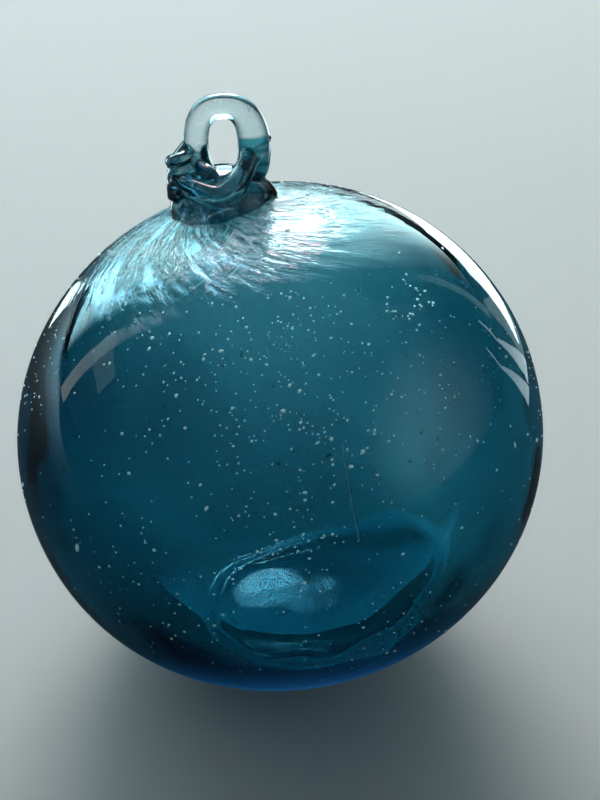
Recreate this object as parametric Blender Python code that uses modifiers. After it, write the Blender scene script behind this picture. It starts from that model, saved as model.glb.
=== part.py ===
"""Hand-blown glass float ball with a hanging loop, lying on its flat spot.

The ball is turned about the axis of its neck, which leans away from the upright as a loose ball lies.
The origin is the middle of the flat spot that it rests on, with +Z up. The loop's hole faces -Y.
"""
import math

import bmesh
import bpy
from mathutils import Matrix, Vector

MM = 0.001

# Ball, measured from its centre and along the neck's axis
BALL_RADIUS = 50.0 * MM
CROWN_HEIGHT = 47.6 * MM
BASE_DEPTH = 47.4 * MM
BASE_SQUARENESS = 2.08
DRAWN_UP_HEIGHT = 1.6 * MM
DRAWN_UP_RADIUS = 15.0 * MM

# How the loose ball lies: the neck's lean from the upright and its heading from +X
NECK_LEAN = math.radians(18.46)
NECK_HEADING = math.radians(136.0)
LOOP_TURN = math.radians(1.5)
FLAT_SPOT_RADIUS = 8.0 * MM

# Collar: the foot of the loop's gather, pressed on the ball's crown
COLLAR_RADIUS = 9.4 * MM
COLLAR_HEIGHT = 4.9 * MM
COLLAR_SQUARENESS = 2.6
COLLAR_LEAN = math.radians(5.0)
FUSE_GAP = 0.3 * MM

# Ring of the loop: an upright oval that leans to the right of the neck
HOLE_WIDTH = 5.2 * MM
HOLE_HEIGHT = 9.6 * MM
HOLE_SQUARENESS = 2.4
THIN_STRAND = 4.6 * MM
THICK_STRAND = 6.0 * MM
RING_SIDESTEP = 3.4 * MM
RING_LEAN = math.radians(12.0)
RING_SINK = 1.0 * MM

# The strand's end, lapped across the front, and the ribs where it wraps the left leg
LAP_DIAMETER = 3.3 * MM
RIB_DIAMETER = 2.5 * MM
RIB_COUNT = 3
RIB_PITCH = 2.0 * MM
DROP_LENGTH = 6.0 * MM
SPUR_DIAMETER = 2.8 * MM

# Facets
BALL_STEPS = 64
BALL_PROFILE_STEPS = 32
COLLAR_STEPS = 48
COLLAR_PROFILE_STEPS = 6
RING_STEPS = 32
STRAND_STEPS = 12
TUBE_BEVEL_RESOLUTION = 3
WELD_DISTANCE = 0.01 * MM

TEAL = (0.035, 0.30, 0.36, 1.0)
CLEAR = (0.72, 0.86, 0.88, 1.0)


def clear_scene():
    for item in list(bpy.data.objects):
        bpy.data.objects.remove(item, do_unlink=True)


def new_collection(name):
    collection = bpy.data.collections.new(name)
    bpy.context.scene.collection.children.link(collection)
    return collection


def glass(name, colour):
    material = bpy.data.materials.new(name)
    material.use_nodes = True
    shader = material.node_tree.nodes["Principled BSDF"]
    shader.inputs["Base Color"].default_value = colour
    shader.inputs["Roughness"].default_value = 0.05
    shader.inputs["Metallic"].default_value = 0.0
    shader.inputs["Transmission Weight"].default_value = 1.0
    return material


def ease(share):
    """Smooth step from 0 to 1."""
    share = min(max(share, 0.0), 1.0)
    return share * share * (3.0 - 2.0 * share)


def ball_profile():
    """Radius and height down the ball's outside, from the crown to the blown base."""
    points = []
    for step in range(BALL_PROFILE_STEPS + 1):
        turn = math.pi * step / BALL_PROFILE_STEPS
        across = max(math.sin(turn), 0.0)
        along = math.cos(turn)
        if along >= 0.0:
            radius = BALL_RADIUS * across
            height = CROWN_HEIGHT * along
            height += DRAWN_UP_HEIGHT * ease(1.0 - radius / DRAWN_UP_RADIUS)
        else:
            power = 2.0 / BASE_SQUARENESS
            radius = BALL_RADIUS * across ** power
            height = -BASE_DEPTH * abs(along) ** power
        points.append(Vector((radius, height)))
    points[0].x = 0.0
    points[-1].x = 0.0
    return points


def offset_profile(points, distance):
    """The same profile moved outward, square to itself."""
    moved = []
    last = len(points) - 1
    for index, point in enumerate(points):
        if index in (0, last):
            outward = Vector((0.0, 1.0 if index == 0 else -1.0))
        else:
            along = points[index + 1] - points[index - 1]
            outward = Vector((-along.y, along.x)).normalized()
        moved.append(point + outward * distance)
    return moved


def ball_height_at(radius):
    """Height of the ball's upper surface at a distance from the neck's axis."""
    points = ball_profile()
    for above, below in zip(points, points[1:]):
        if above.x <= radius <= below.x:
            share = (radius - above.x) / (below.x - above.x)
            return above.y + share * (below.y - above.y)
    return 0.0


def lowest_point():
    """The leaning ball's lowest point: how far to the side and how far down from its centre."""
    def depth(point):
        return point.x * math.sin(NECK_LEAN) - point.y * math.cos(NECK_LEAN)
    lowest = max(ball_profile(), key=depth)
    sideways = -lowest.x * math.cos(NECK_LEAN) - lowest.y * math.sin(NECK_LEAN)
    return sideways, depth(lowest)


def neck_frame():
    """Place of the ball's centre and of the neck's axis when the ball lies on its flat spot."""
    heading = Vector((math.cos(NECK_HEADING), math.sin(NECK_HEADING), 0.0))
    sideways, depth = lowest_point()
    flat_depth = BALL_RADIUS - math.sqrt(BALL_RADIUS ** 2 - FLAT_SPOT_RADIUS ** 2)
    centre = Vector((0.0, 0.0, depth - flat_depth)) + heading * sideways
    lean = Matrix.Rotation(NECK_LEAN, 4, Vector((0.0, 0.0, 1.0)).cross(heading))
    return Matrix.Translation(centre) @ lean @ Matrix.Rotation(LOOP_TURN, 4, "Z")


def add_object(name, mesh, collection, parent, material):
    item = bpy.data.objects.new(name, mesh)
    collection.objects.link(item)
    item.parent = parent
    item.data.materials.append(material)
    return item


def as_cutter(item):
    item.hide_render = True
    item.display_type = "WIRE"
    return item


def turned(name, profile, steps, collection, parent, material):
    """A profile of (radius, height) points turned about the neck's axis."""
    mesh = bpy.data.meshes.new(name)
    corners = [(point[0], 0.0, point[1]) for point in profile]
    edges = [(index, index + 1) for index in range(len(corners) - 1)]
    mesh.from_pydata(corners, edges, [])
    item = add_object(name, mesh, collection, parent, material)
    screw = item.modifiers.new("turn", "SCREW")
    screw.axis = "Z"
    screw.steps = steps
    screw.render_steps = steps
    screw.use_merge_vertices = True
    screw.merge_threshold = WELD_DISTANCE
    screw.use_smooth_shade = True
    return item


def tube(name, path, diameters, cyclic, collection, parent, material):
    """A round strand along a path, as a closed mesh."""
    curve = bpy.data.curves.new(name, "CURVE")
    curve.dimensions = "3D"
    curve.bevel_depth = 1.0
    curve.bevel_resolution = TUBE_BEVEL_RESOLUTION
    curve.use_fill_caps = True
    spline = curve.splines.new("POLY")
    spline.points.add(len(path) - 1)
    for point, place, diameter in zip(spline.points, path, diameters):
        point.co = (place[0], place[1], place[2], 1.0)
        point.radius = diameter / 2.0
    spline.use_cyclic_u = cyclic
    source = bpy.data.objects.new(name + "_curve", curve)
    collection.objects.link(source)
    source.parent = parent
    bpy.context.view_layer.update()
    shape = source.evaluated_get(bpy.context.evaluated_depsgraph_get())
    mesh = bpy.data.meshes.new_from_object(shape)
    mesh.materials.clear()
    work = bmesh.new()
    work.from_mesh(mesh)
    bmesh.ops.remove_doubles(work, verts=work.verts, dist=WELD_DISTANCE)
    bmesh.ops.recalc_face_normals(work, faces=work.faces)
    work.to_mesh(mesh)
    work.free()
    item = add_object(name, mesh, collection, parent, material)
    item.matrix_world = source.matrix_world.copy()
    bpy.data.objects.remove(source, do_unlink=True)
    return item


def combine(item, other, operation):
    boolean = item.modifiers.new(operation.lower() + "_" + other.name, "BOOLEAN")
    boolean.operation = operation
    boolean.object = other
    boolean.solver = "EXACT"


def smooth_path(knots, steps):
    """Points of an even curve through the knots, each a vector of any length."""
    path = []
    last = len(knots) - 1
    for step in range(steps + 1):
        place = last * step / steps
        index = min(int(place), last - 1)
        share = place - index
        before = knots[max(index - 1, 0)]
        start = knots[index]
        end = knots[index + 1]
        after = knots[min(index + 2, last)]
        point = []
        for a, b, c, d in zip(before, start, end, after):
            bend = (2 * a - 5 * b + 4 * c - d) * share ** 2 + (3 * b - a - 3 * c + d) * share ** 3
            point.append(b + 0.5 * ((c - a) * share + bend))
        path.append(point)
    return path


def collar_seat():
    """Height of the ball's surface under the collar's rim."""
    return ball_height_at(COLLAR_RADIUS) + FUSE_GAP


def collar_top():
    return collar_seat() + COLLAR_HEIGHT


def collar_frame():
    """The collar's lean to the right, about the middle of its seat."""
    seat = Matrix.Translation((0.0, 0.0, collar_seat()))
    return seat @ Matrix.Rotation(COLLAR_LEAN, 4, "Y") @ seat.inverted()


def collar_profile():
    """Down the collar's outside: a squarish dome, then a wall that ends inside the ball."""
    power = 2.0 / COLLAR_SQUARENESS
    points = []
    for step in range(COLLAR_PROFILE_STEPS + 1):
        turn = math.pi / 2 * step / COLLAR_PROFILE_STEPS
        radius = COLLAR_RADIUS * max(math.sin(turn), 0.0) ** power
        height = collar_seat() + COLLAR_HEIGHT * max(math.cos(turn), 0.0) ** power
        points.append((radius, height))
    inside_ball = collar_seat() - COLLAR_HEIGHT
    points.append((COLLAR_RADIUS, inside_ball))
    points.append((0.0, inside_ball))
    return points


def oval(turn, half_width, half_height):
    """A point of a squarish upright oval; turn 0 is its right side and a quarter its top."""
    power = 2.0 / HOLE_SQUARENESS
    across = math.copysign(abs(math.cos(turn)) ** power, math.cos(turn))
    up = math.copysign(abs(math.sin(turn)) ** power, math.sin(turn))
    return half_width * across, half_height * up


def ring_middle():
    """The middle of the hole, in the neck's frame."""
    rise = collar_top() - RING_SINK + THIN_STRAND + HOLE_HEIGHT / 2.0
    return Vector((RING_SIDESTEP, 0.0, rise - THIN_STRAND / 2.0))


def ring_strand(turn):
    """The strand's diameter round the ring, thickest low on the right."""
    share = 0.5 + 0.5 * math.cos(turn + math.radians(25.0))
    return THIN_STRAND + (THICK_STRAND - THIN_STRAND) * share ** 2


def ring_place(turn, outward=0.0):
    """A point of the strand's middle line round the hole."""
    strand = ring_strand(turn)
    half_width = (HOLE_WIDTH + strand) / 2.0 + outward
    half_height = (HOLE_HEIGHT + strand) / 2.0 + outward
    across, up = oval(turn, half_width, half_height)
    lean = Matrix.Rotation(RING_LEAN, 4, "Y")
    return ring_middle() + lean @ Vector((across, 0.0, up))


def make_ring(collection, parent, material):
    turns = [math.tau * (step + 0.5) / RING_STEPS for step in range(RING_STEPS)]
    path = [ring_place(turn) for turn in turns]
    diameters = [ring_strand(turn) for turn in turns]
    return tube("ring", path, diameters, True, collection, parent, material)


def make_strand(name, knots, collection, parent, material):
    """A tapering strand through knots of x, y, z and diameter, in the neck's frame."""
    points = smooth_path(knots, STRAND_STEPS)
    path = [point[:3] for point in points]
    diameters = [point[3] for point in points]
    return tube(name, path, diameters, False, collection, parent, material)


def left_leg():
    """Where the ring's left leg stands beside the foot of the hole."""
    return ring_place(math.radians(200.0))


def sill_height():
    """Height of the hole's lower edge."""
    return ring_middle().z - HOLE_HEIGHT / 2.0


def root_knots():
    """The drawn-up foot of the left leg, from inside the collar to half way up the hole."""
    leg = ring_place(math.radians(172.0))
    low = Vector((-0.5 * COLLAR_RADIUS, 0.0, collar_top() - 0.4 * COLLAR_HEIGHT))
    waist = low.lerp(leg, 0.5)
    return [
        (low.x, low.y, low.z, 1.4 * THICK_STRAND),
        (waist.x - 0.2 * THIN_STRAND, waist.y, waist.z, 1.35 * THICK_STRAND),
        (leg.x, leg.y, leg.z, THIN_STRAND),
    ]


def upper_lap_knots():
    """The fold just under the hole, from the left leg to the right one."""
    left = left_leg().x
    middle = ring_middle().x - 0.4 * HOLE_WIDTH
    right = ring_middle().x + 0.8 * HOLE_WIDTH
    front = -0.5 * (THICK_STRAND + LAP_DIAMETER)
    sill = sill_height()
    return [
        (left, 0.4 * front, sill + 0.7 * LAP_DIAMETER, 0.8 * LAP_DIAMETER),
        (0.5 * (left + middle), 0.8 * front, sill + 0.5 * LAP_DIAMETER, 0.9 * LAP_DIAMETER),
        (middle, 0.9 * front, sill - 0.1 * LAP_DIAMETER, LAP_DIAMETER),
        (0.5 * (middle + right), 0.8 * front, sill - 0.05 * LAP_DIAMETER, LAP_DIAMETER),
        (right, 0.4 * front, sill + 0.8 * LAP_DIAMETER, LAP_DIAMETER),
    ]


def lower_lap_knots():
    """The fold below it, which sags to a tip at the front of the collar."""
    front = -(COLLAR_RADIUS - 0.75 * LAP_DIAMETER)
    sill = collar_top()
    return [
        (-0.62 * COLLAR_RADIUS, 0.4 * front, sill + 0.95 * LAP_DIAMETER, 0.85 * LAP_DIAMETER),
        (-0.35 * COLLAR_RADIUS, 0.85 * front, sill + 0.45 * LAP_DIAMETER, LAP_DIAMETER),
        (0.12 * COLLAR_RADIUS, front, sill - 0.2 * LAP_DIAMETER, 1.1 * LAP_DIAMETER),
        (0.55 * COLLAR_RADIUS, 0.75 * front, sill + 0.2 * LAP_DIAMETER, 1.1 * LAP_DIAMETER),
        (0.88 * COLLAR_RADIUS, 0.25 * front, sill + 1.1 * LAP_DIAMETER, LAP_DIAMETER),
    ]


def rib_knots(index):
    """One turn of the strand's end round the outside of the left leg, from front to back."""
    height = sill_height() + (RIB_COUNT - 1 - index) * RIB_PITCH - 0.3 * RIB_PITCH
    middle = -0.4 * COLLAR_RADIUS
    side = 0.48 * COLLAR_RADIUS - RIB_DIAMETER / 2.0 + 0.1 * index * RIB_PITCH
    depth = 0.5 * COLLAR_RADIUS - RIB_DIAMETER / 4.0
    knots = []
    for degrees in (262, 225, 180, 135, 98):
        turn = math.radians(degrees)
        droop = 0.3 * RIB_PITCH * math.sin(turn)
        place = (middle + side * math.cos(turn), depth * math.sin(turn), height - droop)
        knots.append(place + (RIB_DIAMETER,))
    return knots


def spur_knots():
    """The small lump at the collar's right, which tails off on to the crown."""
    seat = collar_seat()
    tail = COLLAR_RADIUS + 0.8 * SPUR_DIAMETER
    return [
        (0.6 * COLLAR_RADIUS, 0.0, seat + 0.6 * COLLAR_HEIGHT, SPUR_DIAMETER),
        (0.9 * COLLAR_RADIUS, 0.0, seat + 0.5 * COLLAR_HEIGHT, SPUR_DIAMETER),
        (COLLAR_RADIUS + 0.2 * SPUR_DIAMETER, 0.0, seat + 0.1 * COLLAR_HEIGHT, 0.7 * SPUR_DIAMETER),
        (tail, 0.0, ball_height_at(tail), 0.3 * SPUR_DIAMETER),
    ]


def make_drop(collection, parent, material):
    """The lens of clear glass on the collar's front."""
    work = bmesh.new()
    bmesh.ops.create_uvsphere(work, u_segments=16, v_segments=10, radius=DROP_LENGTH / 2.0)
    front = -COLLAR_RADIUS + 0.1 * DROP_LENGTH
    place = Vector((0.17 * COLLAR_RADIUS, front, collar_seat() + 0.3 * COLLAR_HEIGHT))
    flatten = Matrix.Diagonal((1.0, 0.35, 0.5, 1.0))
    bmesh.ops.transform(work, matrix=Matrix.Translation(place) @ flatten, verts=work.verts)
    mesh = bpy.data.meshes.new("drop")
    work.to_mesh(mesh)
    work.free()
    return add_object("drop", mesh, collection, parent, material)


def make_ball(parts, cutters, parent, material):
    ball = turned("glass_ball", ball_profile(), BALL_STEPS, parts, parent, material)
    work = bmesh.new()
    bmesh.ops.create_cube(work, size=4.0 * BALL_RADIUS)
    bmesh.ops.translate(work, vec=(0.0, 0.0, -2.0 * BALL_RADIUS), verts=work.verts)
    mesh = bpy.data.meshes.new("table_cutter")
    work.to_mesh(mesh)
    work.free()
    table = as_cutter(add_object("table_cutter", mesh, cutters, None, material))
    combine(ball, table, "DIFFERENCE")
    return ball


def make_loop(parts, cutters, parent, material):
    loop = turned("hanging_loop", collar_profile(), COLLAR_STEPS, parts, parent, material)
    loop.matrix_local = collar_frame()
    strands = [make_ring(cutters, parent, material)]
    strands.append(make_strand("root", root_knots(), cutters, parent, material))
    strands.append(make_strand("upper_lap", upper_lap_knots(), cutters, parent, material))
    strands.append(make_strand("lower_lap", lower_lap_knots(), cutters, parent, material))
    for index in range(RIB_COUNT):
        strands.append(make_strand("rib_%d" % (index + 1), rib_knots(index), cutters, parent, material))
    strands.append(make_strand("spur", spur_knots(), cutters, parent, material))
    strands.append(make_drop(cutters, parent, material))
    for strand in strands:
        combine(loop, as_cutter(strand), "UNION")
    seat_profile = offset_profile(ball_profile(), FUSE_GAP)
    seat = as_cutter(turned("seat_cutter", seat_profile, BALL_STEPS, cutters, parent, material))
    combine(loop, seat, "DIFFERENCE")
    return loop


def main():
    clear_scene()
    parts = new_collection("glass_float_ball")
    cutters = new_collection("cutters")
    neck = bpy.data.objects.new("neck_frame", None)
    parts.objects.link(neck)
    neck.matrix_world = neck_frame()
    bpy.context.view_layer.update()
    teal = glass("teal_glass", TEAL)
    clear = glass("clear_glass", CLEAR)
    make_ball(parts, cutters, neck, teal)
    make_loop(parts, cutters, neck, clear)
    bpy.context.view_layer.update()


main()
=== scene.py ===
"""Looks of the hand-blown glass float ball: seeded teal glass, a clear hanging loop, daylight from behind."""
import math
import random

import bmesh
import bpy
from mathutils import Matrix, Vector, noise
from mathutils.bvhtree import BVHTree


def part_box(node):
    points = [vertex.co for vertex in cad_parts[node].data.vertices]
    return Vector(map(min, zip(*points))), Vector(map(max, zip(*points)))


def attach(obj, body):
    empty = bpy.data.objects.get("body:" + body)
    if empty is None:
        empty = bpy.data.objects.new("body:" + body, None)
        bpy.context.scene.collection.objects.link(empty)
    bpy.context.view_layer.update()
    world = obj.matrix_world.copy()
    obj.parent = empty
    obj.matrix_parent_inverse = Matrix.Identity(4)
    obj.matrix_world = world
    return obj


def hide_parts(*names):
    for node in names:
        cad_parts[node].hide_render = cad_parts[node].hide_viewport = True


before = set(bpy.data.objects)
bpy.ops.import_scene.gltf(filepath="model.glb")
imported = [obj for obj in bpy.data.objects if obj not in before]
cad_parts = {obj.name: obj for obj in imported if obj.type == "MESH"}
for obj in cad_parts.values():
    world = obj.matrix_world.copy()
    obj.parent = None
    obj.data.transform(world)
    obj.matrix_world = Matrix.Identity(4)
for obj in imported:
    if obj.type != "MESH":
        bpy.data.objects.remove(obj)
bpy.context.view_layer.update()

MM = 0.001

# The ball as blown, in its neck's frame: centre at 0, neck along +Z
BALL_RADIUS = 50.0 * MM
CROWN_HEIGHT = 47.6 * MM
BASE_DEPTH = 47.4 * MM
BASE_SQUARENESS = 2.08
DRAWN_UP_HEIGHT = 1.6 * MM
DRAWN_UP_RADIUS = 15.0 * MM
NECK_LEAN = math.radians(18.46)
NECK_HEADING = math.radians(136.0)
LOOP_TURN = math.radians(1.5)

# Glass wall: thin at the shoulder, thick at the side and thickest at the base
SHOULDER_WALL = 0.6 * MM
SIDE_WALL = 2.6 * MM
BASE_WALL = 4.0 * MM
BASE_RIDGE = 0.45 * MM
HEAVY_SIDE = 1.0 * MM
HEAVY_DIRECTION = Vector((-0.78, -0.35, -0.45))
HOLLOW_SHIFT = Vector((0.3 * MM, -0.1 * MM, 0.0))

# Unevenness of the skins: heights, each with its fineness in waves to the metre
OUTSIDE_WAVES = ((0.07 * MM, 28.0),)
HOLLOW_WAVES = ((0.80 * MM, 42.0), (0.24 * MM, 95.0))
POOL_RIPPLES = ((0.26 * MM, 95.0), (0.035 * MM, 260.0))
DRAG_LINE_HEIGHT = 0.16 * MM
NOISE_SHIFTS = (0.0, 0.0, 0.0), (31.7, 11.3, 0.0), (0.0, 47.9, 23.1)

# Drag lines turn as they run out of the neck, by radians to the metre
SWIRL = 38.0
HAIR_SWIRL = 60.0
LINE_RISE = 22.0

# Glass: its colour, and how fast its thickness takes the other colours out
TEAL, TEAL_DENSITY = (0.05, 0.610, 0.702), 830.0
CLEAR, CLEAR_DENSITY = (0.85, 0.95, 0.965), 400.0
GLASS_IOR = 1.5
TEAL_RELIEF = 0.30 * MM
CLEAR_RELIEF = 0.04 * MM
FILM_THICKNESS = 68.0
FILM_IOR = 1.9

# Loop, in the neck's frame
COLLAR_RADIUS = 9.4 * MM
COLLAR_HEIGHT = 4.9 * MM
COLLAR_SQUARENESS = 2.6
COLLAR_ASIDE = Vector((0.3 * MM, 0.9 * MM, 0.0))
FOOT_SPREAD = 1.04
HOLE_WIDTH = 5.2 * MM
HOLE_HEIGHT = 9.6 * MM
HOLE_SQUARENESS = 2.4
THIN_STRAND = 4.6 * MM
THICK_STRAND = 6.0 * MM
RING_SIDESTEP = 3.4 * MM
RING_LEAN = math.radians(12.0)
RING_SINK = 1.0 * MM
LAP = 3.3 * MM
RIB = 2.5 * MM
RIB_PITCH = 2.0 * MM
RIB_COUNT = 4
FRONT = Vector((0.0, -1.0, 0.0))
SEAM_LEVEL = 57.9 * MM
WOUND_LEVEL = 62.0 * MM
DROP_RADIUS = 3.0 * MM
DROP_LEAN = math.radians(-8.0)
NUB_PLACE = Vector((11.7 * MM, 0.0, 57.6 * MM))
NUB_RADIUS = 0.5 * MM
DIMPLE_HEIGHT, DIMPLE_FINENESS = 0.13 * MM, 170.0
MELT_VOXEL = 0.20 * MM
MELT_ROUNDS = 10

# Camera, as it looked at the ball
PHOTO_WIDTH, PHOTO_HEIGHT = 600, 800
BALL_PIXEL = (280.0, 433.0)
CAMERA_DISTANCE = 383.0 * MM
CAMERA_PITCH = math.radians(38.0)
LENS = 90.0
SENSOR = 36.0

# Bubbles, their middle sizes, and the places of some in the pixels of the camera's picture
SEED_COUNT = 1000
SEED_CLUSTERS = 16
SEED_RADIUS = 0.15 * MM
FRONT_SEED_COUNT = 420
FRONT_SEED_RADIUS = 0.14 * MM
FRONT_SEED_PIXEL = (285.0, 375.0)
FRONT_SEED_SPREAD = (95.0, 75.0)
FRONT_SEED_TOP = 285.0
FLOOR_CLEARANCE = 1.5 * MM
SEEDS_AT_A_TIME = 30
CURL_PIXEL = (398.0, 279.0)
CURL_COUNT, CURL_STEP, CURL_SCATTER = 22, 4.0, 1.8
RING_SEED_COUNT = 34
PLACED_SEEDS = (
    # x, y, radius in mm, stretch
    (283, 411, 0.40, 1.3), (185, 428, 0.32, 1.1), (221, 351, 0.34, 1.6), (152, 338, 0.32, 1.5),
    (331, 338, 0.26, 1.2), (352, 372, 0.24, 1.0), (243, 318, 0.24, 1.0), (77, 548, 0.50, 2.2),
    (515, 445, 0.30, 2.4), (497, 470, 0.24, 1.6), (417, 330, 0.26, 1.1), (300, 470, 0.24, 1.2))
LONG_HAIR_PIXEL = (343, 445)
LONG_HAIR_WIDTH, LONG_HAIR_DROP, LONG_HAIR_KNOTS = 17, 16, 7
LONG_HAIR_RADIUS = 0.07 * MM
CROWN_HAIR_COUNT = 110


def ease(share):
    """Smooth step from 0 to 1."""
    share = min(max(share, 0.0), 1.0)
    return share * share * (3.0 - 2.0 * share)


def ball_point(turn):
    """Radius and height of the ball's outside; turn runs from 0 at the crown to pi at the base."""
    across = max(math.sin(turn), 0.0)
    along = math.cos(turn)
    if along >= 0.0:
        radius = BALL_RADIUS * across
        height = CROWN_HEIGHT * along
        return radius, height + DRAWN_UP_HEIGHT * ease(1.0 - radius / DRAWN_UP_RADIUS)
    power = 2.0 / BASE_SQUARENESS
    return BALL_RADIUS * across ** power, -BASE_DEPTH * abs(along) ** power


def crown_height_at(radius):
    """Height of the crown's surface at a distance from the neck's axis."""
    return ball_point(math.asin(min(radius / BALL_RADIUS, 1.0)))[1]


def neck_frame():
    """The place of the ball's centre and neck, from the box of its CAD solid."""
    low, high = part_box("glass_ball")
    heading = Vector((math.cos(NECK_HEADING), math.sin(NECK_HEADING), 0.0))
    lean = Matrix.Rotation(NECK_LEAN, 4, Vector((0.0, 0.0, 1.0)).cross(heading))
    turns = [math.pi * step / 720 for step in range(721)]
    reach = max(p[0] * math.sin(NECK_LEAN) + p[1] * math.cos(NECK_LEAN) for p in map(ball_point, turns))
    centre = Vector(((low.x + high.x) / 2, (low.y + high.y) / 2, high.z - reach))
    return Matrix.Translation(centre) @ lean @ Matrix.Rotation(LOOP_TURN, 4, "Z")


NECK = neck_frame()
CENTRE = NECK.translation.copy()


# Camera

def sight():
    """Right, up and forward of the camera."""
    forward = Vector((0.0, math.cos(CAMERA_PITCH), -math.sin(CAMERA_PITCH)))
    right = Vector((1.0, 0.0, 0.0))
    return right, right.cross(forward), forward


def pixel_ray(x, y):
    right, up, forward = sight()
    pixels = LENS / SENSOR * PHOTO_HEIGHT
    across = (x - PHOTO_WIDTH / 2) / pixels
    down = (y - PHOTO_HEIGHT / 2) / pixels
    return (forward + across * right - down * up).normalized()


CAMERA_PLACE = CENTRE - CAMERA_DISTANCE * pixel_ray(*BALL_PIXEL)


def stand_camera():
    data = bpy.data.cameras.new("camera")
    data.lens = LENS
    data.sensor_width = SENSOR
    data.clip_start = 0.01
    camera = bpy.data.objects.new("camera", data)
    bpy.context.scene.collection.objects.link(camera)
    right, up, forward = sight()
    turn = Matrix((right, up, -forward)).transposed().to_4x4()
    camera.matrix_world = Matrix.Translation(CAMERA_PLACE) @ turn
    bpy.context.scene.camera = camera


# Node helpers

def principled(name, values):
    """A material whose shader has plain values on its sockets."""
    material = bpy.data.materials.new(name)
    material.use_nodes = True
    shader = material.node_tree.nodes["Principled BSDF"]
    for socket, value in values.items():
        shader.inputs[socket].default_value = value
    return material, material.node_tree, shader


def feed(links, socket, value):
    """Sets a socket to a number or links it to another."""
    if isinstance(value, bpy.types.NodeSocket):
        links.new(value, socket)
    else:
        socket.default_value = value


def maths(tree, operation, first, second=0.0, third=0.0):
    node = tree.nodes.new("ShaderNodeMath")
    node.operation = operation
    for socket, value in zip(node.inputs, (first, second, third)):
        feed(tree.links, socket, value)
    return node.outputs[0]


def times(tree, *factors):
    product = factors[0]
    for factor in factors[1:]:
        product = maths(tree, "MULTIPLY", product, factor)
    return product


def vector_maths(tree, operation, first, second=None):
    node = tree.nodes.new("ShaderNodeVectorMath")
    node.operation = operation
    feed(tree.links, node.inputs[0], first)
    if second is not None:
        feed(tree.links, node.inputs[1], second)
    return node.outputs


def coordinates(tree, kind="Object"):
    return tree.nodes.new("ShaderNodeTexCoord").outputs[kind]


def split(tree, vector):
    """The X, Y and Z of a vector."""
    node = tree.nodes.new("ShaderNodeSeparateXYZ")
    tree.links.new(vector, node.inputs["Vector"])
    return node.outputs


def ramp(tree, value, low, high):
    """0 below low and 1 above high, or the other way round if low is the larger."""
    node = tree.nodes.new("ShaderNodeMapRange")
    node.interpolation_type = "SMOOTHSTEP"
    feed(tree.links, node.inputs["Value"], value)
    flipped = low > high
    node.inputs["From Min"].default_value = min(low, high)
    node.inputs["From Max"].default_value = max(low, high)
    node.inputs["To Min"].default_value = 1.0 if flipped else 0.0
    node.inputs["To Max"].default_value = 0.0 if flipped else 1.0
    return node.outputs["Result"]


def noise_value(tree, vector, scale, detail=2.0, distortion=0.0):
    node = tree.nodes.new("ShaderNodeTexNoise")
    tree.links.new(vector, node.inputs["Vector"])
    node.inputs["Scale"].default_value = scale
    node.inputs["Detail"].default_value = detail
    node.inputs["Distortion"].default_value = distortion
    return node.outputs["Fac"]


def blend(tree, share, first, second):
    """One colour at share 0, the other at 1."""
    node = tree.nodes.new("ShaderNodeMix")
    node.data_type = "RGBA"
    feed(tree.links, node.inputs[0], share)
    for socket, value in ((node.inputs[6], first), (node.inputs[7], second)):
        feed(tree.links, socket, value if isinstance(value, bpy.types.NodeSocket) else (*value, 1.0))
    return node.outputs[2]


def neck_coordinates(tree):
    """Object coordinates turned into the neck's frame, with the ball's centre at 0."""
    place = tree.nodes.new("ShaderNodeMapping")
    place.vector_type = "TEXTURE"
    place.inputs["Location"].default_value = CENTRE
    place.inputs["Rotation"].default_value = NECK.to_euler()
    tree.links.new(coordinates(tree), place.inputs["Vector"])
    return place.outputs["Vector"]


def swirl_coordinates(tree, place):
    """The distance from the neck's axis, and coordinates in which noise swirls out of the neck in lines."""
    flat = vector_maths(tree, "MULTIPLY", place, (1.0, 1.0, 0.0))["Vector"]
    radius = vector_maths(tree, "LENGTH", flat)["Value"]
    swirl = tree.nodes.new("ShaderNodeVectorRotate")
    swirl.rotation_type = "Z_AXIS"
    tree.links.new(vector_maths(tree, "NORMALIZE", flat)["Vector"], swirl.inputs["Vector"])
    feed(tree.links, swirl.inputs["Angle"], times(tree, radius, -SWIRL))
    rise = tree.nodes.new("ShaderNodeCombineXYZ")
    feed(tree.links, rise.inputs["Z"], times(tree, radius, LINE_RISE))
    return radius, vector_maths(tree, "ADD", swirl.outputs["Vector"], rise.outputs["Vector"])["Vector"]


def raise_relief(tree, shader, relief, height):
    bump = tree.nodes.new("ShaderNodeBump")
    bump.inputs["Strength"].default_value = 1.0
    bump.inputs["Distance"].default_value = height
    feed(tree.links, bump.inputs["Height"], relief)
    tree.links.new(bump.outputs["Normal"], shader.inputs["Normal"])


# Shapes

def new_object(name, work):
    """A finished bmesh as an object at the origin."""
    mesh = bpy.data.meshes.new(name)
    work.to_mesh(mesh)
    work.free()
    item = bpy.data.objects.new(name, mesh)
    bpy.context.scene.collection.objects.link(item)
    return item


def add_mesh(whole, part):
    """Puts one bmesh into another and frees it."""
    scrap = bpy.data.meshes.new("scrap")
    part.to_mesh(scrap)
    part.free()
    whole.from_mesh(scrap)
    bpy.data.meshes.remove(scrap)


def noise_vector(place):
    """Noise in three directions, the same in each run, which the noise module's own noise_vector isn't."""
    return Vector([noise.noise(place + Vector(shift)) for shift in NOISE_SHIFTS])


def rippled(place, waves):
    """The sum of several noises at a place."""
    return sum(height * noise.noise(place * fineness) for height, fineness in waves)


# Light and floor

def hide_from(card, *kinds):
    """Hides a card from some kinds of ray, such as glossy (mirrored) or transmission (seen through glass)."""
    for kind in kinds:
        setattr(card, "visible_" + kind, False)


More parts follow.
